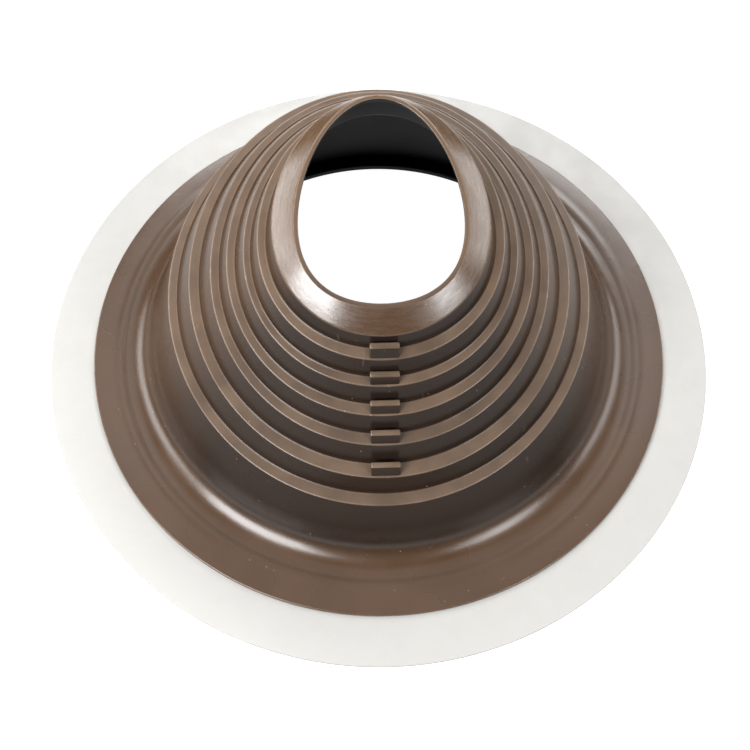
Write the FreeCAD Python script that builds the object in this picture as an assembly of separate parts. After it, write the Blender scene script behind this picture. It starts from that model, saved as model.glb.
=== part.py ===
import FreeCAD, Part
import math
import os
from collections import namedtuple

# Pipe flashing boot: a stepped rubber cone that seals a pipe where it passes through a pitched roof.
#
# Two pieces. The boot is one rubber moulding: a flat flange, a skirt, five drums in steps and a
# sloping collar with an oval mouth. Each level leans a little further forward than the one below it,
# and a column of small lugs down the front keeps a clamp band on its drum. The base ring is flat soft
# aluminium, bonded under the flange, which is dressed to the roof sheet and screwed down.
#
# Frame: +Z up, the roof surface is Z = 0, the origin is the centre of the base, and the boot leans
# towards -Y. Lengths are millimetres and angles are degrees.

# Base ring, flange and foot of the skirt, from the outside in
RING_RADIUS = 190.0
RING_MARGIN = 25.0
RING_LAP = 20.0
RING_THICKNESS = 1.0
FLANGE_WIDTH = 31.0
FLANGE_THICKNESS = 2.5

# Skirt, which sweeps up out of the flange to the lowest step
SKIRT_HEIGHT = 36.5
SKIRT_FLARE = 21.1
SKIRT_SWEEP = 8.0
SWEEP_BANDS = 4
LOWEST_FRONT = 119.4
LOWEST_LENGTH = 239.0
LOWEST_TILT = 7.0

# Mouth and collar, the part that grips the smallest pipe
MOUTH_HEIGHT = 133.9
MOUTH_HALF_WIDTH = 37.0
MOUTH_LENGTH = 93.3
MOUTH_FRONT = 59.7
MOUTH_WIDEST = 0.39
LIP_WIDTH = 2.0
LIP_DEPTH = 2.0
COLLAR_RISE = 9.9
COLLAR_SIDE_FLARE = 12.1
COLLAR_FRONT_FLARE = 10.8
COLLAR_LENGTH_GAIN = 17.9
COLLAR_WIDEST = 0.455
COLLAR_TILT = 20.0

# Step edges from the smallest drum down to the lowest. Side, front and length are how much of the
# growth from the collar to the lowest edge each edge has reached, and its tread, the ledge between
# that edge and the wall that rises from it, is a share of the deepest tread.
Step = namedtuple("Step", "side front length tread")
STEPS = [
    Step(side=0.1191, front=0.1391, length=0.0939, tread=0.784),
    Step(side=0.2476, front=0.2577, length=0.2316, tread=0.676),
    Step(side=0.4044, front=0.4192, length=0.4194, tread=0.811),
    Step(side=0.5658, front=0.5971, length=0.6283, tread=0.838),
    Step(side=0.7806, front=0.8160, length=0.8474, tread=1.0),
    Step(side=1.0, front=1.0, length=1.0, tread=0.892),
]
FIRST_DROP = 10.0
DEEPEST_TREAD = 7.4
WIDEST_GAIN = 0.0083
TREAD_SIDE_SHARE = 0.75
TREAD_REAR_SHARE = 0.6

# Rubber section and the easing of its edges
WALL = 2.5
BASE_LIP = 11.0
STEP_EDGE_EASE = 0.8
LIP_EASE = 0.5
FLANGE_EDGE_ROUND = 0.8

# Lugs that keep a clamp band on its drum, one on each tread above the skirt
LUG_WIDTH = 15.6
LUG_HEIGHT = 6.2
LUG_THICKNESS = 3.2
LUG_SETBACK = 1.0
LUG_ROUND = 0.7
LUG_ROOT = 1.0

# Points that hold each oval to its formula, a multiple of four so that one lies at each quarter
OVAL_POINTS = 16

FLANGE_TOP = RING_THICKNESS + FLANGE_THICKNESS
FLANGE_RADIUS = RING_RADIUS - RING_MARGIN
BORE_RADIUS = FLANGE_RADIUS - RING_LAP
FOOT_RADIUS = FLANGE_RADIUS - FLANGE_WIDTH
FRONT = -math.pi / 2
REAR = math.pi / 2

# A level of the boot: an oval in a plane that leans forward. It is given by its front point, its half
# width, its reach from the front to the widest line and from there to the rear, and its tilt.
Level = namedtuple("Level", "front_y front_z half_width front_reach rear_reach tilt")


def plane_axes(level):
    """Unit vectors of a level's plane: rearwards up its slope, and its normal."""
    tilt = math.radians(level.tilt)
    rearward = FreeCAD.Vector(0, math.cos(tilt), math.sin(tilt))
    normal = FreeCAD.Vector(0, -math.sin(tilt), math.cos(tilt))
    return rearward, normal


def oval(front, height, half_width, length, widest, tilt):
    """A level from its whole length and the share of it that lies ahead of the widest line."""
    return Level(-front, height, half_width, length * widest, length * (1 - widest), tilt)


def disc(radius, height):
    """A flat round level about the Z axis."""
    return Level(-radius, height, radius, radius, radius, 0.0)


def inset(level, side, front, rear):
    """The same level drawn in at its sides, its front and its rear."""
    rearward, _ = plane_axes(level)
    return Level(
        level.front_y + front * rearward.y,
        level.front_z + front * rearward.z,
        level.half_width - side,
        level.front_reach - front,
        level.rear_reach - rear,
        level.tilt,
    )


def sunk(level, depth):
    """The same level moved down along its normal."""
    _, normal = plane_axes(level)
    return level._replace(
        front_y=level.front_y - depth * normal.y,
        front_z=level.front_z - depth * normal.z,
    )


def level_point(level, turn):
    """A point on the oval at a turn from the right-hand side."""
    half_length = (level.front_reach + level.rear_reach) / 2
    reach = half_length * (1 + math.sin(turn))
    reach += (level.front_reach - half_length) * math.cos(turn) ** 2
    rearward, _ = plane_axes(level)
    front = FreeCAD.Vector(0, level.front_y, level.front_z)
    return front + rearward * reach + FreeCAD.Vector(level.half_width * math.cos(turn), 0, 0)


def turns():
    """The turns at which the ovals are held, from the rear all the way round."""
    return [REAR + 2 * math.pi * number / OVAL_POINTS for number in range(OVAL_POINTS)]


def ring(points):
    """One closed smooth curve through the points."""
    curve = Part.BSplineCurve()
    curve.interpolate(Points=points, PeriodicFlag=True)
    return Part.Wire([curve.toShape()])


def outline(level):
    """The points of a level's oval."""
    return [level_point(level, turn) for turn in turns()]


def along(starts, ends, distance):
    """The points that lie a distance from each start point towards its end point."""
    return [start + (end - start).normalize() * distance for start, end in zip(starts, ends)]


def stack(sections):
    """A solid with straight walls through a stack of closed outlines."""
    return Part.makeLoft([ring(points) for points in sections], True, True)


def drum(bottom, top, ease=0.0):
    """A solid with straight walls from one level up to another, whose top edge may be eased."""
    low, high = outline(bottom), outline(top)
    if ease == 0.0:
        return stack([low, high])
    return stack([low, along(high, low, ease), outline(inset(top, ease, ease, ease))])


def skirt(foot, edge):
    """The skirt, which sweeps out of the flange in a hollow curve and rises to the lowest step."""
    low, high = outline(foot), outline(edge)
    start = outline(inset(foot, -SKIRT_SWEEP, -SKIRT_SWEEP, -SKIRT_SWEEP))
    finish = along(low, high, SKIRT_SWEEP)
    sections = []
    for band in range(SWEEP_BANDS + 1):
        share = band / SWEEP_BANDS
        weights = ((1 - share) ** 2, 2 * share * (1 - share), share ** 2)
        sections.append([a * weights[0] + b * weights[1] + c * weights[2] for a, b, c in zip(start, low, finish)])
    ease = STEP_EDGE_EASE
    return stack(sections + [along(high, low, ease), outline(inset(edge, ease, ease, ease))])


def between(start, end, share):
    """The value a share of the way from one to another."""
    return start + (end - start) * share


def make_levels():
    """The outer levels from the top down: the mouth, the collar's lower edge and the step edges."""
    mouth = oval(MOUTH_FRONT, MOUTH_HEIGHT, MOUTH_HALF_WIDTH, MOUTH_LENGTH, MOUTH_WIDEST, COLLAR_TILT)

    half_width = MOUTH_HALF_WIDTH + COLLAR_SIDE_FLARE
    front = MOUTH_FRONT + COLLAR_FRONT_FLARE
    length = MOUTH_LENGTH + COLLAR_LENGTH_GAIN
    height = MOUTH_HEIGHT - COLLAR_RISE
    collar = oval(front, height, half_width, length, COLLAR_WIDEST, COLLAR_TILT)

    lowest_half_width = FOOT_RADIUS - SKIRT_FLARE
    first_height = height - FIRST_DROP
    lowest_height = FLANGE_TOP + SKIRT_HEIGHT
    edges = []
    for number, step in enumerate(STEPS):
        edge = oval(
            between(front, LOWEST_FRONT, step.front),
            between(first_height, lowest_height, number / (len(STEPS) - 1)),
            between(half_width, lowest_half_width, step.side),
            between(length, LOWEST_LENGTH, step.length),
            COLLAR_WIDEST + WIDEST_GAIN * (number + 1),
            between(COLLAR_TILT, LOWEST_TILT, (number + 1) / len(STEPS)),
        )
        edges.append(edge)
    return mouth, collar, edges


def tread_root(edge, step):
    """The inner edge of a tread, from which the next wall rises."""
    tread = step.tread * DEEPEST_TREAD
    return inset(edge, tread * TREAD_SIDE_SHARE, tread, tread * TREAD_REAR_SHARE)


def inside(level):
    """The level on the inner face of the rubber that goes with an outer one."""
    return sunk(inset(level, WALL, WALL, WALL), WALL)


def make_outside(lip, collar, edges, roots, foot):
    """The boot as a solid block: flange, skirt, drums with their lugs, and collar."""
    plug = Part.makeCylinder(BORE_RADIUS, RING_THICKNESS)
    plate = Part.makeCylinder(FLANGE_RADIUS, FLANGE_THICKNESS, FreeCAD.Vector(0, 0, RING_THICKNESS))
    rim = [edge for edge in plate.Edges if edge.Vertexes[0].Z > RING_THICKNESS and edge.isClosed()]
    plate = plate.makeFillet(FLANGE_EDGE_ROUND, rim)
    block = plug.fuse(plate).fuse(skirt(foot, edges[-1]))
    for edge, root, above, next_root in zip(edges, roots, [collar] + edges, roots[1:]):
        block = block.fuse(drum(next_root, edge, STEP_EDGE_EASE).fuse(make_lug(edge, root, above)))
    block = block.fuse(drum(roots[0], collar))
    return block.fuse(drum(collar, lip, LIP_EASE))


def make_hollow(mouth, collar, edges, roots, opening):
    """The space inside the boot, from the open base to the mouth."""
    throat = sunk(inset(collar, WALL, WALL, WALL), WALL / 2)
    neck = sunk(mouth, LIP_DEPTH)
    hollow = drum(disc(FOOT_RADIUS - WALL, FLANGE_TOP), inside(edges[-1]))
    hollow = hollow.fuse(drum(opening, disc(opening.half_width, FLANGE_TOP)))
    for edge, root in zip(edges, roots[1:]):
        hollow = hollow.fuse(drum(inside(root), inside(edge)))
    return hollow.fuse(drum(inside(roots[0]), throat)).fuse(drum(throat, neck)).fuse(drum(neck, mouth))


def flat_face(solid, level):
    """The flat face of a solid that lies in a level's plane."""
    point = level_point(level, FRONT)
    _, normal = plane_axes(level)
    for face in solid.Faces:
        flat = isinstance(face.Surface, Part.Plane) and abs(face.normalAt(0, 0).dot(normal)) > 0.999999
        if flat and abs((face.CenterOfMass - point).dot(normal)) < 0.001:
            return face
    raise ValueError("no face in that plane")


def make_shell(block, hollow, open_levels):
    """The block with the hollow taken out, where both end in the same planes.

    The two skins never meet elsewhere, so they are joined by one flat ring in each of those planes.
    """
    walls = list(block.Faces)
    lining = list(hollow.Faces)
    ends = []
    for level in open_levels:
        outer = flat_face(block, level)
        inner = flat_face(hollow, level)
        walls = [face for face in walls if not face.isSame(outer)]
        lining = [face for face in lining if not face.isSame(inner)]
        ends.append(Part.makeFace([outer.OuterWire, inner.OuterWire], "Part::FaceMakerBullseye"))
    solid = Part.Solid(Part.Shell(walls + [face.reversed() for face in lining] + ends))
    solid.fix(1e-5, 1e-5, 1e-4)
    return solid


def make_lug(edge, root, above):
    """A lug on a tread. It stands near the edge and leans back as the wall behind it does."""
    rearward, normal = plane_axes(edge)
    base = level_point(edge, FRONT) + rearward * LUG_SETBACK
    wall = level_point(above, FRONT) - level_point(root, FRONT)
    lean = wall / wall.dot(normal)
    foot = base - lean * LUG_ROOT
    top = base + lean * LUG_HEIGHT
    back = rearward * LUG_THICKNESS
    corners = [foot, foot + back, top + back, top, foot]
    half = FreeCAD.Vector(LUG_WIDTH / 2, 0, 0)
    profile = Part.Face(Part.makePolygon([corner - half for corner in corners]))
    block = profile.extrude(half * 2)
    shown = [edge for edge in block.Edges if max((v.Point - base).dot(normal) for v in edge.Vertexes) > 0]
    return block.makeFillet(LUG_ROUND, shown)


def make_boot():
    """The rubber moulding."""
    mouth, collar, edges = make_levels()
    roots = [tread_root(edge, step) for edge, step in zip(edges, STEPS)]
    lip = inset(mouth, -LIP_WIDTH, -LIP_WIDTH, -LIP_WIDTH)
    foot = disc(FOOT_RADIUS, FLANGE_TOP)
    opening = disc(FOOT_RADIUS - BASE_LIP, 0.0)

    block = make_outside(lip, collar, edges, roots, foot)
    hollow = make_hollow(mouth, collar, edges, roots, opening)
    return make_shell(block, hollow, [opening, mouth])


def make_base_ring():
    """The aluminium ring: it laps under the flange and its margin shows all round."""
    sheet = Part.makeCylinder(RING_RADIUS, RING_THICKNESS)
    return sheet.cut(Part.makeCylinder(BORE_RADIUS, RING_THICKNESS))


def main():
    """Builds both pieces, exports them and reports on each."""
    os.makedirs("parts", exist_ok=True)
    boot = make_boot()
    boot.exportStep("parts/rubber_boot.step")
    base_ring = make_base_ring()
    base_ring.exportStep("parts/base_ring.step")
    for name, shape in (("rubber_boot", boot), ("base_ring", base_ring)):
        size = shape.optimalBoundingBox()
        print(name, shape.isValid(), len(shape.Solids), round(shape.Volume), size)


main()
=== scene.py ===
"""Looks of the pipe flashing boot: a stepped rubber cone on a flat aluminium base ring."""

import logging
import math
from dataclasses import dataclass
from enum import Enum
from typing import Iterator

import bmesh
import bpy
import numpy as np
from mathutils import Euler, Matrix, Vector


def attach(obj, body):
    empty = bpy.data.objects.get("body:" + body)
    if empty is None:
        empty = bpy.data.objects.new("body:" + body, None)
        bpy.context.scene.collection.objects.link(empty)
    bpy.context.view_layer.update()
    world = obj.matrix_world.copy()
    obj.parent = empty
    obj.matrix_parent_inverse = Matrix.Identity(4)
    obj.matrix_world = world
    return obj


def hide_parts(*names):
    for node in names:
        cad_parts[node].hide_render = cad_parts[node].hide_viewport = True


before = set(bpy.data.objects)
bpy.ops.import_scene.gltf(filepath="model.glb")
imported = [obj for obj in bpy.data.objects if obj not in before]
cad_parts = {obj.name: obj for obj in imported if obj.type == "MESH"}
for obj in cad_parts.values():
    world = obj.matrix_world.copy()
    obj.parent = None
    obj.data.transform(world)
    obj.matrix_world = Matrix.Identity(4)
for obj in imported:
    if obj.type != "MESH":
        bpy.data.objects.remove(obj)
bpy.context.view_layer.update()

LOG = logging.getLogger("boot")
MM = 0.001
BODY = "root"
TURN_COUNT = 192

# The turn that faces the front, from the right-hand side, in radians
FRONT = -math.pi / 2

# Sockets of a colour mix node by number, because several of them share a name
MIX_SHARE, MIX_FIRST, MIX_SECOND, MIX_RESULT = 0, 6, 7, 2

Points = np.ndarray
Colour = tuple[float, float, float, float]
Triple = tuple[float, float, float]
Socket = bpy.types.NodeSocket


class Zone(Enum):
    """The kinds of surface on the moulding, which are finished differently."""

    UNDERSIDE = 0
    FLANGE = 1
    SKIRT = 2
    TREAD = 3
    WALL = 4
    COLLAR = 5
    INSIDE = 6


def select_nothing() -> None:
    """Leaves object mode's selection empty, because operators act on all that is selected."""
    if bpy.context.object and bpy.context.object.mode != "OBJECT":
        bpy.ops.object.mode_set(mode="OBJECT")
    bpy.ops.object.select_all(action="DESELECT")


@dataclass(frozen=True)
class Level:
    """An oval in a plane that leans forward, in millimetres and degrees."""

    front_y: float
    front_z: float
    half_width: float
    front_reach: float
    rear_reach: float
    tilt: float

    @property
    def rearward(self) -> Vector:
        """Unit vector rearwards up the plane's slope."""
        tilt = math.radians(self.tilt)
        return Vector((0, math.cos(tilt), math.sin(tilt)))

    @property
    def normal(self) -> Vector:
        """Unit vector square to the plane."""
        tilt = math.radians(self.tilt)
        return Vector((0, -math.sin(tilt), math.cos(tilt)))

    def inset(self, side: float, front: float, rear: float) -> "Level":
        """The same level drawn in at its sides, its front and its rear."""
        step = self.rearward * front
        return Level(
            self.front_y + step.y, self.front_z + step.z, self.half_width - side,
            self.front_reach - front, self.rear_reach - rear, self.tilt,
        )

    def sunk(self, depth: float) -> "Level":
        """The same level moved down along its normal."""
        step = self.normal * -depth
        return Level(
            self.front_y + step.y, self.front_z + step.z, self.half_width,
            self.front_reach, self.rear_reach, self.tilt,
        )

    def points(self, turns: Points) -> Points:
        """Points of the oval.

        Args:
            turns: Turns from the right-hand side, in radians.

        Returns:
            One row for each turn, in millimetres.
        """
        half = (self.front_reach + self.rear_reach) / 2
        reach = half * (1 + np.sin(turns)) + (self.front_reach - half) * np.cos(turns) ** 2
        front = np.array([0.0, self.front_y, self.front_z])
        side = np.outer(self.half_width * np.cos(turns), [1.0, 0.0, 0.0])
        return front + np.outer(reach, np.array(self.rearward)) + side


def oval(
    front: float, height: float, half_width: float, length: float, widest: float, tilt: float,
) -> Level:
    """A level from its whole length.

    Args:
        front: How far the front lies ahead of the Z axis, in millimetres.
        height: The front's height, in millimetres.
        half_width: Half the width, in millimetres.
        length: The length along the slope, in millimetres.
        widest: The share of the length that lies ahead of the widest line.
        tilt: The plane's lean, in degrees.

    Returns:
        The level.
    """
    return Level(-front, height, half_width, length * widest, length * (1 - widest), tilt)


def disc(radius: float, height: float) -> Level:
    """A flat round level about the Z axis."""
    return Level(-radius, height, radius, radius, radius, 0.0)


@dataclass(frozen=True)
class Ease:
    """How far a rounded corner reaches along its sides, in millimetres, and its bands."""

    reach: float
    bands: int


@dataclass(frozen=True)
class Corner:
    """A ring where the section of a moulding turns."""

    points: Points
    ease: Ease
    zone: Zone
    proud: bool = False


def toward(start: Points, end: Points, distance: float) -> Points:
    """Points a distance from each start point towards its end point, in millimetres."""
    run = end - start
    return start + run * (distance / np.linalg.norm(run, axis=1))[:, None]


@dataclass(frozen=True)
class Station:
    """One ring of a swept skin and what it carries for the finishes."""

    points: Points
    zone: Zone
    # How strongly the rubber's finish paints a highlight on this ring, greatest in the middle of a
    # convex edge
    edge: float


def stations(corners: list[Corner]) -> Iterator[Station]:
    """Rings through a closed chain of corners, each rounded over its own reach.

    Args:
        corners: The chain, whose last corner joins the first.

    Returns:
        The rings in order. The zone of a corner is that of the surface after it.
    """
    for index, corner in enumerate(corners):
        before = corners[index - 1]
        after = corners[(index + 1) % len(corners)]
        ease = corner.ease
        start = toward(corner.points, before.points, ease.reach)
        end = toward(corner.points, after.points, ease.reach)
        for band in range(ease.bands + 1):
            share = band / ease.bands
            middle = corner.points * 2 * share * (1 - share)
            ring = start * (1 - share) ** 2 + middle + end * share**2
            zone = before.zone if share < 0.5 else corner.zone
            edge = math.sin(math.pi * share) if corner.proud else 0.0
            yield Station(ring, zone, edge)


class SweptSkin:
    """A closed skin of rings, extruded one after another from a first circle."""

    def __init__(self, name: str, turn_count: int = TURN_COUNT) -> None:
        self.name = name
        self.turn_count = turn_count
        self.turns = np.arange(turn_count) * 2 * math.pi / turn_count

    def build(self, rings: list[Station]) -> bpy.types.Object:
        """Extrudes the rings, closes the skin and stores what the finishes read.

        Args:
            rings: The rings in order round the section.

        Returns:
            The piece, with smooth normals and its attributes.
        """
        select_nothing()
        bpy.ops.mesh.primitive_circle_add(
            vertices=self.turn_count, radius=1.0, fill_type="NOTHING",
        )
        piece = bpy.context.object
        piece.name = piece.data.name = self.name
        mesh = piece.data
        order = mesh.attributes.new("order", "INT", "POINT")
        column = mesh.attributes.new("column", "INT", "POINT")
        turn = 2 * math.pi / self.turn_count
        found = [math.atan2(vertex.co.y, vertex.co.x) % (2 * math.pi) for vertex in mesh.vertices]
        column.data.foreach_set("value", [round(a / turn) % self.turn_count for a in found])
        order.data.foreach_set("value", [0] * self.turn_count)

        bpy.ops.object.mode_set(mode="EDIT")
        bpy.ops.mesh.select_mode(type="EDGE")
        bpy.ops.mesh.select_all(action="SELECT")
        for number, ring in enumerate(rings):
            if number:
                bpy.ops.mesh.extrude_edges_move()
            self._place(mesh, ring.points * MM, number)
        self._close(mesh, len(rings))
        bpy.ops.mesh.select_all(action="SELECT")
        bpy.ops.mesh.normals_make_consistent(inside=False)
        bpy.ops.object.mode_set(mode="OBJECT")
        self._store(mesh, rings)
        bpy.ops.object.shade_smooth()
        return piece

    def _place(self, mesh: bpy.types.Mesh, points: Points, number: int) -> None:
        """Moves the selected ring to its points and numbers it."""
        skin = bmesh.from_edit_mesh(mesh)
        order = skin.verts.layers.int["order"]
        column = skin.verts.layers.int["column"]
        for vertex in skin.verts:
            if vertex.select:
                vertex.co = points[vertex[column]]
                vertex[order] = number
        bmesh.update_edit_mesh(mesh, loop_triangles=False, destructive=False)

    def _close(self, mesh: bpy.types.Mesh, count: int) -> None:
        """Bridges the last ring to the first."""
        skin = bmesh.from_edit_mesh(mesh)
        order = skin.verts.layers.int["order"]
        ends = (0, count - 1)
        for edge in skin.edges:
            first, second = (vertex[order] for vertex in edge.verts)
            edge.select_set(first == second and first in ends)
        bmesh.update_edit_mesh(mesh, loop_triangles=False, destructive=False)
        bpy.ops.mesh.bridge_edge_loops()

    def _store(self, mesh: bpy.types.Mesh, rings: list[Station]) -> None:
        """Stores zone, edge and place along the section as attributes of the mesh."""
        count = len(mesh.vertices)
        order = np.zeros(count, np.int32)
        column = np.zeros(count, np.int32)
        mesh.attributes["order"].data.foreach_get("value", order)
        mesh.attributes["column"].data.foreach_get("value", column)
        gaps = [
            np.linalg.norm(after.points - before.points, axis=1).mean()
            for before, after in zip(rings, rings[1:])
        ]
        run = np.concatenate([[0.0], np.cumsum(gaps)]) * MM
        turn = self.turns[column]
        follow = np.stack([np.cos(turn), np.sin(turn), run[order]], axis=1)
        ways = mesh.attributes.new("follow", "FLOAT_VECTOR", "POINT")
        ways.data.foreach_set("vector", follow.ravel())
        # The share of painted highlight on convex edges
        edge = np.array([ring.edge for ring in rings])[order]
        mesh.attributes.new("edge", "FLOAT", "POINT").data.foreach_set("value", edge)
        zones = np.array([ring.zone.value for ring in rings])[order]
        for zone in (Zone.TREAD, Zone.WALL, Zone.COLLAR, Zone.INSIDE):
            mask = mesh.attributes.new(zone.name.lower(), "FLOAT", "POINT")
            mask.data.foreach_set("value", (zones == zone.value).astype(float))
        for spare in ("order", "column"):
            mesh.attributes.remove(mesh.attributes[spare])


@dataclass(frozen=True)
class Step:
    """How far one step edge has grown, as shares from the collar to the lowest edge.

    Its tread is a share of the deepest one.
    """

    side: float
    front: float
    length: float
    tread: float


def between(start: float, end: float, share: float) -> float:
    """The value a share of the way from one to another."""
    return start + (end - start) * share


@dataclass
class RubberBoot:
    """The rubber moulding: flange, skirt, stepped drums, collar, mouth and lugs.

    Lengths are millimetres and tilts are degrees. Each ease names the corner that it rounds.
    """

    # Flange, bead and skirt
    flange_radius: float = 165.0
    flange_thickness: float = 2.5
    foot_radius: float = 134.0
    ring_lap: float = 20.0
    ring_thickness: float = 1.0
    bead_radius: float = 149.9
    bead_half_width: float = 3.6
    bead_height: float = 0.5
    skirt_height: float = 36.5
    skirt_flare: float = 21.1
    lowest_front: float = 119.4
    lowest_length: float = 239.0
    lowest_tilt: float = 7.0

    # Mouth and collar
    mouth_height: float = 133.9
    mouth_half_width: float = 37.0
    mouth_length: float = 93.3
    mouth_front: float = 59.7
    mouth_widest: float = 0.39
    lip_width: float = 2.0
    lip_depth: float = 2.0
    collar_rise: float = 9.9
    collar_side_flare: float = 12.1
    collar_front_flare: float = 10.8
    collar_length_gain: float = 17.9
    collar_widest: float = 0.455
    collar_tilt: float = 20.0

    # Steps
    first_drop: float = 10.0
    deepest_tread: float = 7.4
    widest_gain: float = 0.0083
    tread_side_share: float = 0.75
    tread_rear_share: float = 0.6
    steps: tuple[Step, ...] = (
        Step(0.1191, 0.1391, 0.0939, 0.784),
        Step(0.2476, 0.2577, 0.2316, 0.676),
        Step(0.4044, 0.4192, 0.4194, 0.811),
        Step(0.5658, 0.5971, 0.6283, 0.838),
        Step(0.7806, 0.8160, 0.8474, 1.0),
        Step(1.0, 1.0, 1.0, 0.892),
    )

    # Section
    wall: float = 2.5
    base_lip: float = 11.0
    base_ease: Ease = Ease(0.3, 2)
    hidden_ease: Ease = Ease(0.2, 1)
    rim_ease: Ease = Ease(0.9, 4)
    bead_foot_ease: Ease = Ease(1.8, 4)
    bead_crest_ease: Ease = Ease(1.8, 6)
    groove_ease: Ease = Ease(0.3, 2)
    skirt_sweep: Ease = Ease(12.0, 14)
    edge_ease: Ease = Ease(0.8, 4)
    root_ease: Ease = Ease(1.4, 4)
    lip_ease: Ease = Ease(0.5, 3)
    mouth_ease: Ease = Ease(0.4, 3)
    neck_ease: Ease = Ease(0.6, 2)
    throat_ease: Ease = Ease(1.5, 2)
    lining_root_ease: Ease = Ease(0.8, 2)
    lining_edge_ease: Ease = Ease(1.2, 3)

    # Lugs
    lug_width: float = 13.6
    lug_width_gain: float = 0.27
    lug_height: float = 6.2
    lug_thickness: float = 3.2
    lug_setback: float = 1.0
    lug_round: float = 1.0
    lug_round_bands: int = 4
    lug_root: float = 1.0
    lug_smooth_angle: float = 35.0
    # How strongly highlights are painted on a lug's side and top corners
    lug_side_highlight: float = 0.8
    lug_top_highlight: float = 0.3

    def levels(self) -> tuple[Level, Level, list[Level]]:
        """The outer levels from the top down.

        Returns:
            The mouth, the collar's lower edge and the step edges.
        """
        mouth = oval(
            self.mouth_front, self.mouth_height, self.mouth_half_width, self.mouth_length,
            self.mouth_widest, self.collar_tilt,
        )
        half_width = self.mouth_half_width + self.collar_side_flare
        front = self.mouth_front + self.collar_front_flare
        length = self.mouth_length + self.collar_length_gain
        height = self.mouth_height - self.collar_rise
        collar = oval(front, height, half_width, length, self.collar_widest, self.collar_tilt)
        lowest = self.ring_thickness + self.flange_thickness + self.skirt_height
        edges = []
        for number, step in enumerate(self.steps):
            edges.append(oval(
                between(front, self.lowest_front, step.front),
                between(height - self.first_drop, lowest, number / (len(self.steps) - 1)),
                between(half_width, self.foot_radius - self.skirt_flare, step.side),
                between(length, self.lowest_length, step.length),
                self.collar_widest + self.widest_gain * (number + 1),
                between(self.collar_tilt, self.lowest_tilt, (number + 1) / len(self.steps)),
            ))
        return mouth, collar, edges

    def roots(self, edges: list[Level]) -> list[Level]:
        """The inner edge of each tread, from which the next wall rises."""
        found = []
        for edge, step in zip(edges, self.steps):
            front = step.tread * self.deepest_tread
            side, rear = front * self.tread_side_share, front * self.tread_rear_share
            found.append(edge.inset(side, front, rear))
        return found

    def inner(self, level: Level) -> Level:
        """The level on the inner face of the rubber that goes with an outer one."""
        return level.inset(self.wall, self.wall, self.wall).sunk(self.wall)

    def corners(self, turns: Points) -> list[Corner]:
        """The section's corners at each turn, from the base opening round to the lining.

        Args:
            turns: Turns from the right-hand side, in radians.

        Returns:
            The closed chain of corners.
        """
        mouth, collar, edges = self.levels()
        roots = self.roots(edges)
        top = self.ring_thickness + self.flange_thickness
        plug_radius = self.flange_radius - self.ring_lap
        opening_radius = self.foot_radius - self.base_lip
        bead_out = self.bead_radius + self.bead_half_width
        bead_in = self.bead_radius - self.bead_half_width

        def at(level: Level, ease: Ease, zone: Zone, proud: bool = False) -> Corner:
            """A corner on one level."""
            return Corner(level.points(turns), ease, zone, proud)

        chain = [
            at(disc(opening_radius, top), self.base_ease, Zone.INSIDE),
            at(disc(opening_radius, 0.0), self.base_ease, Zone.UNDERSIDE),
            at(disc(plug_radius, 0.0), self.hidden_ease, Zone.UNDERSIDE),
            at(disc(plug_radius, self.ring_thickness), self.hidden_ease, Zone.UNDERSIDE),
            at(disc(self.flange_radius, self.ring_thickness), self.base_ease, Zone.FLANGE),
            at(disc(self.flange_radius, top), self.rim_ease, Zone.FLANGE, True),
            at(disc(bead_out, top), self.bead_foot_ease, Zone.FLANGE),
            at(disc(self.bead_radius, top + self.bead_height), self.bead_crest_ease, Zone.FLANGE),
            at(disc(bead_in, top), self.groove_ease, Zone.FLANGE),
            at(disc(self.foot_radius, top), self.skirt_sweep, Zone.SKIRT),
        ]
        for edge, root in zip(reversed(edges), reversed(roots)):
            chain.append(at(edge, self.edge_ease, Zone.TREAD, True))
            chain.append(at(root, self.root_ease, Zone.WALL))
        lip = mouth.inset(-self.lip_width, -self.lip_width, -self.lip_width)
        throat = collar.inset(self.wall, self.wall, self.wall).sunk(self.wall / 2)
        chain += [
            at(collar, self.edge_ease, Zone.COLLAR, True),
            at(lip, self.lip_ease, Zone.COLLAR, True),
            at(mouth, self.mouth_ease, Zone.INSIDE, True),
            at(mouth.sunk(self.lip_depth), self.neck_ease, Zone.INSIDE),
            at(throat, self.throat_ease, Zone.INSIDE),
        ]
        for edge, root in zip(edges, roots):
            chain.append(at(self.inner(root), self.lining_root_ease, Zone.INSIDE))
            chain.append(at(self.inner(edge), self.lining_edge_ease, Zone.INSIDE))
        lining_foot = disc(self.foot_radius - self.wall, top)
        chain.append(at(lining_foot, self.lining_root_ease, Zone.INSIDE))
        return chain

    def lug(self, number: int) -> bpy.types.Object:
        """A lug on one tread, leaning back as the wall behind it does.

        Args:
            number: The tread, counted from the top.

        Returns:
            The lug as a piece of its own.
        """
        _, collar, edges = self.levels()
        edge, root = edges[number], self.roots(edges)[number]
        above = ([collar] + edges)[number]
        front = np.array([FRONT])
        wall = Vector(above.points(front)[0]) - Vector(root.points(front)[0])
        lean = wall / wall.dot(edge.normal)
        base = Vector(edge.points(front)[0]) + edge.rearward * self.lug_setback

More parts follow.
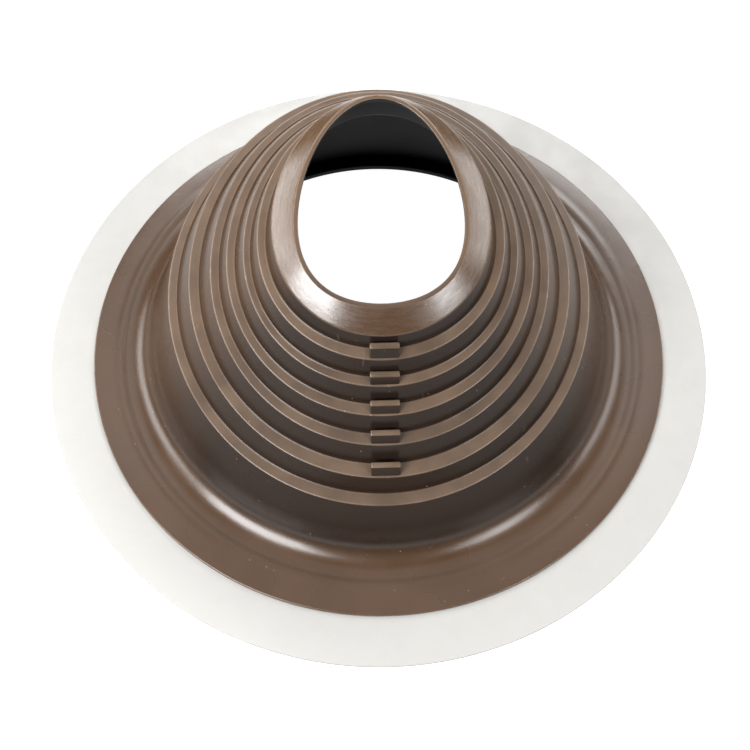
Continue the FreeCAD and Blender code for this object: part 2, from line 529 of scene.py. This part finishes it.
        width = self.lug_width + self.lug_width_gain * number
        select_nothing()
        bpy.ops.mesh.primitive_cube_add(size=1.0)
        piece = bpy.context.object
        piece.name = piece.data.name = f"lug_{number + 1}"
        rise = self.lug_height + self.lug_root
        bpy.ops.object.mode_set(mode="EDIT")
        bpy.ops.mesh.select_all(action="SELECT")
        bpy.ops.transform.resize(value=(width * MM, self.lug_thickness * MM, rise * MM))
        bpy.ops.transform.translate(
            value=(0, self.lug_thickness / 2 * MM, (rise / 2 - self.lug_root) * MM),
        )
        bpy.ops.mesh.select_mode(type="EDGE")
        block = bmesh.from_edit_mesh(piece.data)
        for line in block.edges:
            line.select_set(max(v.co.z for v in line.verts) > 0)
        bmesh.update_edit_mesh(piece.data)
        bpy.ops.mesh.bevel(
            offset=self.lug_round * MM, segments=self.lug_round_bands, profile=0.5, affect="EDGES",
        )
        bpy.ops.object.mode_set(mode="OBJECT")
        self._mark_lug(piece.data, width)
        place = Matrix.Identity(4)
        for column, axis in enumerate((Vector((1, 0, 0)), edge.rearward, lean)):
            for row in range(3):
                place[row][column] = axis[row]
        place.translation = base * MM
        piece.data.transform(place)
        bpy.ops.object.shade_smooth_by_angle(angle=math.radians(self.lug_smooth_angle))
        return piece

    def _mark_lug(self, mesh: bpy.types.Mesh, width: float) -> None:
        """Marks a lug's dusty top and the painted highlights on its side and top corners for the
        finish, before it is put in place.

        Args:
            mesh: The lug's mesh, standing upright on the origin.
            width: The lug's width, in millimetres.
        """
        tops, corner_highlight = [], []
        for vertex in mesh.vertices:
            top = vertex.co.z / MM > self.lug_height - self.lug_round / 2
            side = abs(vertex.co.x) / MM > width / 2 - self.lug_round / 2
            tops.append(float(top))
            corner_highlight.append(self.lug_side_highlight if side else self.lug_top_highlight * float(top))
        none = [0.0] * len(mesh.vertices)
        marks = {"edge": corner_highlight, "tread": tops, "wall": none, "collar": none, "inside": none}
        for name, values in marks.items():
            mesh.attributes.new(name, "FLOAT", "POINT").data.foreach_set("value", values)
        facing_front = [0.0, -1.0, 0.0]
        ways = mesh.attributes.new("follow", "FLOAT_VECTOR", "POINT")
        ways.data.foreach_set("vector", facing_front * len(mesh.vertices))

    def build(self) -> bpy.types.Object:
        """Builds the moulding and joins its lugs to it."""
        sweep = SweptSkin("boot_moulding")
        piece = sweep.build(list(stations(self.corners(sweep.turns))))
        lugs = [self.lug(number) for number in range(len(self.steps) - 1)]
        select_nothing()
        for lug in lugs:
            lug.select_set(True)
        piece.select_set(True)
        bpy.context.view_layer.objects.active = piece
        bpy.ops.object.join()
        return piece

    def dress(self, piece: bpy.types.Object) -> None:
        """Gives the moulding its finish and its place on the part."""
        piece.data.materials.clear()
        piece.data.materials.append(RubberFinish().make())
        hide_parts("rubber_boot")
        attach(piece, BODY)


@dataclass
class BaseRing:
    """The flat aluminium ring under the flange, in millimetres."""

    outer_radius: float = 190.0
    bore_radius: float = 145.0
    thickness: float = 1.0
    edge_ease: Ease = Ease(0.25, 2)

    def corners(self, turns: Points) -> list[Corner]:
        """The section's corners at each turn.

        Args:
            turns: Turns from the right-hand side, in radians.

        Returns:
            The closed chain of corners.
        """
        bore, rim, top = self.bore_radius, self.outer_radius, self.thickness
        section = ((bore, 0.0), (rim, 0.0), (rim, top), (bore, top))
        return [
            Corner(disc(radius, height).points(turns), self.edge_ease, Zone.FLANGE, True)
            for radius, height in section
        ]

    def build(self) -> bpy.types.Object:
        """Builds the ring."""
        sweep = SweptSkin("ring_sheet")
        return sweep.build(list(stations(self.corners(sweep.turns))))

    def dress(self, piece: bpy.types.Object) -> None:
        """Gives the ring its finish and its place on the part."""
        piece.data.materials.clear()
        piece.data.materials.append(AluminiumFinish().make())
        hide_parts("base_ring")
        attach(piece, BODY)


@dataclass(frozen=True)
class Pattern:
    """A noise pattern: its scale, its detail and how rough that detail is."""

    scale: float
    detail: float
    rough: float = 0.5


@dataclass(frozen=True)
class Ramp:
    """A smooth change from a first value to a last, while its input goes from low to high."""

    low: float
    high: float
    first: float = 0.0
    last: float = 1.0


@dataclass(frozen=True)
class Relief:
    """A bump's depth, in metres, and its strength."""

    depth: float
    strength: float


class Bench:
    """A material's node tree, with short calls for the nodes that the finishes use."""

    def __init__(self, name: str) -> None:
        self.material = bpy.data.materials.new(name)
        self.material.use_nodes = True
        self.tree = self.material.node_tree
        self.shader = self.tree.nodes["Principled BSDF"]

    def node(
        self, kind: str, settings: dict[str, object] | None = None, **inputs: object,
    ) -> bpy.types.Node:
        """Adds a node.

        Args:
            kind: The node's type name.
            settings: Its properties.
            **inputs: Values or sockets for its inputs, with _ for a space.

        Returns:
            The node.
        """
        made = self.tree.nodes.new(kind)
        for key, value in (settings or {}).items():
            setattr(made, key, value)
        for key, value in inputs.items():
            self.feed(made.inputs[key.replace("_", " ")], value)
        return made

    def feed(self, socket: Socket, value: object) -> None:
        """Links a socket to an input, or sets the input's value."""
        if isinstance(value, Socket):
            self.tree.links.new(value, socket)
        else:
            socket.default_value = value

    def finish(self, **inputs: object) -> bpy.types.Material:
        """Feeds the shader and gives the material.

        Args:
            **inputs: Values or sockets for the shader's inputs, with _ for a space.

        Returns:
            The material.
        """
        for key, value in inputs.items():
            self.feed(self.shader.inputs[key.replace("_", " ")], value)
        return self.material

    def attribute(self, name: str) -> bpy.types.Node:
        """Reads an attribute of the mesh."""
        return self.node("ShaderNodeAttribute", {"attribute_name": name})

    def place(self, scale: Triple = (1.0, 1.0, 1.0), source: Socket | None = None) -> Socket:
        """Object coordinates, or another source, stretched by a scale."""
        start = source or self.node("ShaderNodeTexCoord").outputs["Object"]
        return self.node("ShaderNodeMapping", Vector=start, Scale=scale).outputs["Vector"]

    def noise(self, where: Socket, pattern: Pattern) -> Socket:
        """A noise pattern at each place."""
        made = self.node(
            "ShaderNodeTexNoise",
            Vector=where, Scale=pattern.scale, Detail=pattern.detail, Roughness=pattern.rough,
        )
        return made.outputs["Fac"]

    def band(self, value: Socket, ramp: Ramp) -> Socket:
        """Maps a value along a ramp, and holds it at the ramp's ends beyond them."""
        made = self.node(
            "ShaderNodeMapRange", {"interpolation_type": "SMOOTHSTEP"}, Value=value,
            From_Min=ramp.low, From_Max=ramp.high, To_Min=ramp.first, To_Max=ramp.last,
        )
        return made.outputs["Result"]

    def patches(self, where: Socket, pattern: Pattern, ramp: Ramp) -> Socket:
        """A noise pattern mapped along a ramp."""
        return self.band(self.noise(where, pattern), ramp)

    def math(self, operation: str, first: object, second: object = 0.0) -> Socket:
        """One calculation, by its name, on one or two values or sockets."""
        made = self.node("ShaderNodeMath", {"operation": operation})
        self.feed(made.inputs[0], first)
        self.feed(made.inputs[1], second)
        return made.outputs["Value"]

    def product(self, first: object, second: object) -> Socket:
        """Two values or sockets multiplied."""
        return self.math("MULTIPLY", first, second)

    def blend(self, share: object, first: object, second: object) -> Socket:
        """A mix of two colours, by the share of the second."""
        made = self.node("ShaderNodeMix", {"data_type": "RGBA"})
        self.feed(made.inputs[MIX_SHARE], share)
        self.feed(made.inputs[MIX_FIRST], first)
        self.feed(made.inputs[MIX_SECOND], second)
        return made.outputs[MIX_RESULT]

    def bump(self, height: Socket, relief: Relief, under: Socket | None = None) -> Socket:
        """Bump from a height pattern, over another bump if one is given."""
        made = self.node(
            "ShaderNodeBump", Height=height, Distance=relief.depth, Strength=relief.strength,
        )
        if under is not None:
            self.feed(made.inputs["Normal"], under)
        return made.outputs["Normal"]


class RubberReading:
    """What the rubber's finish reads from the mesh."""

    def __init__(self, bench: Bench) -> None:
        self.where = bench.place()
        self.axes = bench.node("ShaderNodeSeparateXYZ", Vector=self.where).outputs
        self.follow = bench.attribute("follow").outputs["Vector"]
        self.facing = bench.node("ShaderNodeSeparateXYZ", Vector=self.follow).outputs["Y"]
        self.tread = bench.attribute("tread").outputs["Fac"]
        self.wall = bench.attribute("wall").outputs["Fac"]
        self.collar = bench.attribute("collar").outputs["Fac"]
        # Where highlights are painted along convex edges and lug corners
        self.edge = bench.attribute("edge").outputs["Fac"]
        self.inside = bench.attribute("inside").outputs["Fac"]


@dataclass(frozen=True)
class RubberFinish:
    """Satin brown rubber, dusty on its treads, with painted highlights along its edges, painted
    shade towards the front and behind the lugs, and painted light on the collar's sides.

    Heights and widths are metres.
    """

    # Colours
    deep: Colour = (0.047, 0.023, 0.0100, 1.0)
    faded: Colour = (0.060, 0.031, 0.0150, 1.0)
    # Painted shade: darker copies of the rubber for the surfaces that face the front
    painted_shade: Colour = (0.012, 0.0065, 0.0038, 1.0)
    painted_shade_faded: Colour = (0.016, 0.0092, 0.0058, 1.0)
    # Painted light: the lighter warm brown of the collar's sides
    collar_side_light: Colour = (0.086, 0.045, 0.018, 1.0)
    dust: Colour = (0.130, 0.080, 0.047, 1.0)
    # Painted highlight along the edges, and also the colour of the pale specks and scratches
    pale_wear_and_highlight: Colour = (0.40, 0.31, 0.24, 1.0)
    lining: Colour = (0.005, 0.0045, 0.0045, 1.0)
    # Painted shade behind the lugs
    painted_lug_shade: Colour = (0.014, 0.009, 0.007, 1.0)

    # Where the colours lie
    cloud: Pattern = Pattern(22.0, 3.0)
    cloud_spread: Ramp = Ramp(0.2, 0.8)
    # front_turn and skirt_rise place the painted shade towards the front; front_turn also places
    # the painted light on the collar's sides and the painted edge highlights
    front_turn: Ramp = Ramp(-0.1, -0.75, 0.25, 1.0)
    skirt_rise: Ramp = Ramp(0.0042, 0.013)
    dust_patches: Pattern = Pattern(60.0, 4.0)
    dust_spread: Ramp = Ramp(0.25, 0.75, 0.4, 0.75)
    # Where the painted shade behind the lugs lies
    lug_shade_side: Ramp = Ramp(0.00742, 0.00658)
    lug_shade_foot: float = 0.0560
    lug_shade_strength: float = 0.85

    # Painted highlights along the edges, then pale specks and scratches
    highlight_breaks: Pattern = Pattern(240.0, 3.0, 0.7)
    highlight_break_spread: Ramp = Ramp(0.56, 0.74, 0.20, 0.55)
    highlight_front: Ramp = Ramp(0.25, 1.0, 1.0, 0.25)
    speck_scale: float = 260.0
    speck_size: Ramp = Ramp(0.10, 0.05)
    speck_places: Pattern = Pattern(140.0, 1.0)
    speck_spread: Ramp = Ramp(0.62, 0.66)
    scratch_turn: Triple = (0.3, 0.2, -0.9)
    scratch_stretch: Triple = (420.0, 9.0, 60.0)
    scratch_lines: Pattern = Pattern(1.0, 1.0)
    scratch_width: Ramp = Ramp(0.72, 0.76)
    scratch_places: Pattern = Pattern(16.0, 1.0)
    scratch_spread: Ramp = Ramp(0.60, 0.66, 0.0, 0.10)
    mark_strength: float = 0.5

    # Sheen
    roughness: Ramp = Ramp(0.0, 1.0, 0.24, 0.30)
    dust_roughness: float = 0.2
    lining_roughness: float = 0.35
    streak_stretch: Triple = (6.0, 6.0, 700.0)
    streaks: Pattern = Pattern(1.0, 4.0, 0.6)
    streak_roughness: Ramp = Ramp(0.3, 0.7, -0.03, 0.06)
    gloss: Ramp = Ramp(0.0, 1.0, 0.56, 0.12)
    gloss_rise: Ramp = Ramp(0.012, 0.026)
    collar_gloss: float = 0.32

    # Relief
    wave_stretch: Triple = (1.0, 1.0, 1.6)
    waves: Pattern = Pattern(26.0, 2.0)
    wave_relief: Relief = Relief(0.0012, 0.3)
    streak_relief: Relief = Relief(0.00006, 0.6)
    grain: Pattern = Pattern(900.0, 2.0)
    grain_relief: Relief = Relief(0.00005, 0.5)

    def make(self) -> bpy.types.Material:
        """Builds the material."""
        bench = Bench("boot_rubber")
        on = RubberReading(bench)
        cloud = bench.patches(on.where, self.cloud, self.cloud_spread)
        dusty = bench.patches(on.where, self.dust_patches, self.dust_spread)
        settled = bench.product(on.tread, dusty)
        streak = bench.noise(bench.place(self.streak_stretch, on.follow), self.streaks)
        return bench.finish(
            Base_Color=self._colour(bench, on, cloud, settled),
            Roughness=self._roughness(bench, on, cloud, settled, streak),
            Specular_IOR_Level=self._gloss(bench, on),
            Normal=self._normal(bench, on, streak),
        )

    def _colour(
        self, bench: Bench, on: RubberReading, cloud: Socket, settled: Socket,
    ) -> Socket:
        """The colour: plain rubber with painted shade towards the front and painted light on the
        collar's sides first, then the dust, the painted shade behind the lugs, the painted edge
        highlights and the pale specks and scratches over it.

        Args:
            bench: The material's bench.
            on: What the finish reads from the mesh.
            cloud: A slow change over the whole moulding.
            settled: How much dust lies at each place.

        Returns:
            The colour.
        """
        level = bench.blend(cloud, self.deep, self.faded)
        # Painted shade: above the flange's foot, all but the collar take the darker copy, fully at
        # the front and a quarter at the sides and back
        steep = bench.blend(cloud, self.painted_shade, self.painted_shade_faded)
        ahead = bench.band(on.facing, self.front_turn)
        high = bench.band(on.axes["Z"], self.skirt_rise)
        above = bench.product(high, bench.math("SUBTRACT", ahead, on.collar))
        colour = bench.blend(above, level, steep)
        # Painted light: the collar, away from its front, takes a lighter warm brown where more
        # light falls
        side_light_share = bench.product(on.collar, bench.math("SUBTRACT", 1.0, ahead))
        colour = bench.blend(side_light_share, colour, self.collar_side_light)
        colour = bench.blend(settled, colour, self.dust)
        # Painted shade on the wall behind each lug
        colour = bench.blend(self._painted_lug_shade(bench, on), colour, self.painted_lug_shade)

        # Painted highlight: pale broken lines along convex edges and lug corners, strongest away
        # from the front
        highlight_patches = bench.patches(on.where, self.highlight_breaks, self.highlight_break_spread)
        edge_highlight = bench.product(on.edge, bench.band(ahead, self.highlight_front))
        colour = bench.blend(bench.product(edge_highlight, highlight_patches), colour, self.pale_wear_and_highlight)
        marks = bench.math("MAXIMUM", self._specks(bench, on), self._scratches(bench, on))
        colour = bench.blend(bench.product(marks, self.mark_strength), colour, self.pale_wear_and_highlight)
        return bench.blend(on.inside, colour, self.lining)

    def _painted_lug_shade(self, bench: Bench, on: RubberReading) -> Socket:
        """Painted shade: the dark patch of wall behind each lug, standing in for the lug's shadow
        and its dark reflection in the wall.
        """
        across = bench.band(bench.math("ABSOLUTE", on.axes["X"]), self.lug_shade_side)
        forward = bench.product(across, bench.math("LESS_THAN", on.axes["Y"], 0.0))
        high = bench.math("GREATER_THAN", on.axes["Z"], self.lug_shade_foot)
        behind = bench.product(bench.product(forward, high), on.wall)
        return bench.product(behind, self.lug_shade_strength)

    def _specks(self, bench: Bench, on: RubberReading) -> Socket:
        """Small pale specks, found in a few places only."""
        cell = bench.node("ShaderNodeTexVoronoi", Vector=on.where, Scale=self.speck_scale)
        dot = bench.band(cell.outputs["Distance"], self.speck_size)
        return bench.product(dot, bench.patches(on.where, self.speck_places, self.speck_spread))

    def _scratches(self, bench: Bench, on: RubberReading) -> Socket:
        """Long thin scratches, found in a few places only."""
        turned = bench.node(
            "ShaderNodeMapping",
            Vector=on.where, Rotation=self.scratch_turn, Scale=self.scratch_stretch,
        )
        line = bench.patches(turned.outputs["Vector"], self.scratch_lines, self.scratch_width)
        place = bench.patches(on.where, self.scratch_places, self.scratch_spread)
        return bench.product(line, place)

    def _roughness(
        self, bench: Bench, on: RubberReading, cloud: Socket, settled: Socket, streak: Socket,
    ) -> Socket:
        """The roughness: satin, duller where dust lies and inside, brushed on the collar."""
        rubber = bench.band(cloud, self.roughness)
        rough = bench.math("ADD", rubber, bench.product(settled, self.dust_roughness))
        brushed = bench.product(on.collar, bench.band(streak, self.streak_roughness))
        rough = bench.math("ADD", rough, brushed)
        return bench.math("ADD", rough, bench.product(on.inside, self.lining_roughness))

    def _gloss(self, bench: Bench, on: RubberReading) -> Socket:
        """The gloss: low on the steep walls and inside, high on the collar."""
        high = bench.band(on.axes["Z"], self.gloss_rise)
        walls = bench.product(high, bench.math("SUBTRACT", 1.0, on.collar))
        dull = bench.math("MAXIMUM", bench.math("SUBTRACT", walls, on.tread), on.inside)
        collar = bench.product(on.collar, self.collar_gloss)
        return bench.math("ADD", bench.band(dull, self.gloss), collar)

    def _normal(self, bench: Bench, on: RubberReading, streak: Socket) -> Socket:
        """The fine relief: slow waves, brushing along the section and grain."""
        wave = bench.noise(bench.place(self.wave_stretch), self.waves)
        normal = bench.bump(wave, self.wave_relief)
        normal = bench.bump(streak, self.streak_relief, normal)
        return bench.bump(bench.noise(on.where, self.grain), self.grain_relief, normal)


@dataclass(frozen=True)
class AluminiumFinish:
    """Soft pale aluminium sheet with a faint mottle, and painted shade on everything below its top
    face, which shows as a dark line along its outer edge.
    """

    pale: Colour = (0.385, 0.378, 0.362, 1.0)
    dull: Colour = (0.368, 0.361, 0.345, 1.0)
    # Painted shade for the ring's edge and underside
    painted_edge_shade: Colour = (0.020, 0.0195, 0.019, 1.0)
    mottle: Pattern = Pattern(45.0, 5.0, 0.65)
    mottle_spread: Ramp = Ramp(0.3, 0.7)
    edge_shade_drop: Ramp = Ramp(0.00099, 0.0009)
    roughness: Ramp = Ramp(0.0, 1.0, 0.58, 0.46)
    metallic: float = 0.1
    waves: Pattern = Pattern(18.0, 2.0)
    wave_relief: Relief = Relief(0.0008, 0.4)
    grain: Pattern = Pattern(1400.0, 2.0)
    grain_relief: Relief = Relief(0.00003, 0.4)

    def make(self) -> bpy.types.Material:
        """Builds the material."""
        bench = Bench("ring_aluminium")
        where = bench.place()
        mottle = bench.patches(where, self.mottle, self.mottle_spread)
        height = bench.node("ShaderNodeSeparateXYZ", Vector=where).outputs["Z"]
        face = bench.blend(mottle, self.dull, self.pale)
        normal = bench.bump(bench.noise(where, self.waves), self.wave_relief)
        return bench.finish(
            # Painted shade: all below the top face turns near black
            Base_Color=bench.blend(bench.band(height, self.edge_shade_drop), face, self.painted_edge_shade),
            Roughness=bench.band(mottle, self.roughness),
            Metallic=self.metallic,
            Normal=bench.bump(bench.noise(where, self.grain), self.grain_relief, normal),
        )


@dataclass(frozen=True)
class SoftBox:
    """An area light, in metres and watts."""

    name: str
    place: Triple
    size: tuple[float, float]
    power: float

    def build(self, aim: Triple) -> None:
        """Adds the light, turned to what it lights."""
        light = bpy.data.lights.new(self.name, "AREA")
        light.shape = "RECTANGLE"
        light.size, light.size_y = self.size
        light.energy = self.power
        lamp = bpy.data.objects.new(self.name, light)
        lamp.location = self.place
        lamp.rotation_euler = (Vector(aim) - Vector(self.place)).to_track_quat("-Z", "Y").to_euler()
        bpy.context.scene.collection.objects.link(lamp)


@dataclass
class Studio:
    """Floor, light and camera, in metres, millimetres of lens and degrees."""

    # Floor: its glow fades outwards round the lit centre
    floor_size: float = 16.0
    floor_colour: Colour = (0.3, 0.3, 0.3, 1.0)
    floor_roughness: float = 0.9
    floor_gloss: float = 0.1
    lit_centre: float = 0.1
    glow: Ramp = Ramp(0.40, 0.60, 1.0, 0.10)

    # Light
    white: Colour = (1.0, 1.0, 1.0, 1.0)
    surround: float = 0.12
    subject: Triple = (0.0, -0.05, 0.08)
    boxes: tuple[SoftBox, ...] = (
        SoftBox("overhead", (0.0, 0.10, 1.40), (1.2, 1.0), 3.4),
        SoftBox("back", (0.2, 1.30, 1.00), (1.6, 0.5), 22.0),
        SoftBox("back_left", (-0.55, 0.65, 1.25), (0.8, 0.6), 2.6),
        SoftBox("back_right", (0.55, 0.65, 1.25), (0.7, 0.5), 2.4),
        SoftBox("left", (-0.99, -0.92, 0.98), (1.0, 0.78), 44.0),
        SoftBox("right", (0.95, -0.99, 0.93), (0.58, 0.62), 14.5),
        SoftBox("left_wall", (-1.80, 0.35, 0.98), (1.7, 0.65), 26.0),
        SoftBox("right_wall", (1.80, 0.35, 0.92), (1.7, 0.65), 19.0),
    )

    # Camera
    lens: float = 46.56
    sensor: float = 36.0
    eye: Triple = (-0.0104, -0.2807, 0.4966)
    look: Triple = (27.15, 0.0, -1.7)

    def floor(self) -> None:
        """A pale floor that glows as painted light, brightest round the lit centre and fading
        outwards.
        """
        select_nothing()
        bpy.ops.mesh.primitive_plane_add(size=self.floor_size)
        floor = bpy.context.object
        floor.name = "studio_floor"
        bench = Bench("studio_floor")
        centred = bench.node(
            "ShaderNodeMapping", Vector=bench.node("ShaderNodeTexCoord").outputs["Object"],
            Location=(0.0, -self.lit_centre, 0.0),
        )
        from_lit = bench.node("ShaderNodeVectorMath", {"operation": "LENGTH"})
        bench.feed(from_lit.inputs[0], centred.outputs["Vector"])
        floor.data.materials.append(bench.finish(
            Base_Color=self.floor_colour,
            Roughness=self.floor_roughness,
            Specular_IOR_Level=self.floor_gloss,
            Emission_Color=self.white,
            Emission_Strength=bench.band(from_lit.outputs["Value"], self.glow),
        ))

    def lights(self) -> None:
        """Soft boxes above and at both sides, and a pale surround."""
        for box in self.boxes:
            box.build(self.subject)
        world = bpy.data.worlds.new("surround")
        world.use_nodes = True
        background = world.node_tree.nodes["Background"].inputs
        background["Color"].default_value = self.white
        background["Strength"].default_value = self.surround
        bpy.context.scene.world = world

    def camera(self) -> None:
        """The camera, with no shift and no depth of field."""
        data = bpy.data.cameras.new("view")
        data.lens = self.lens
        data.sensor_width = self.sensor
        eye = bpy.data.objects.new("view", data)
        eye.location = self.eye
        eye.rotation_euler = Euler([math.radians(angle) for angle in self.look])
        bpy.context.scene.collection.objects.link(eye)
        bpy.context.scene.camera = eye

    def build(self) -> None:
        """Sets the whole studio."""
        self.camera()
        self.floor()
        self.lights()
        bpy.context.scene.view_settings.view_transform = "Standard"


def main() -> None:
    """Builds every piece in order and reports it."""
    logging.basicConfig(level=logging.INFO, format="%(name)s: %(message)s")
    Studio().build()
    for maker in (RubberBoot(), BaseRing()):
        piece = maker.build()
        maker.dress(piece)
        LOG.info("%s has %d faces", piece.name, len(piece.data.polygons))
    select_nothing()


if __name__ == "__main__":
    main()
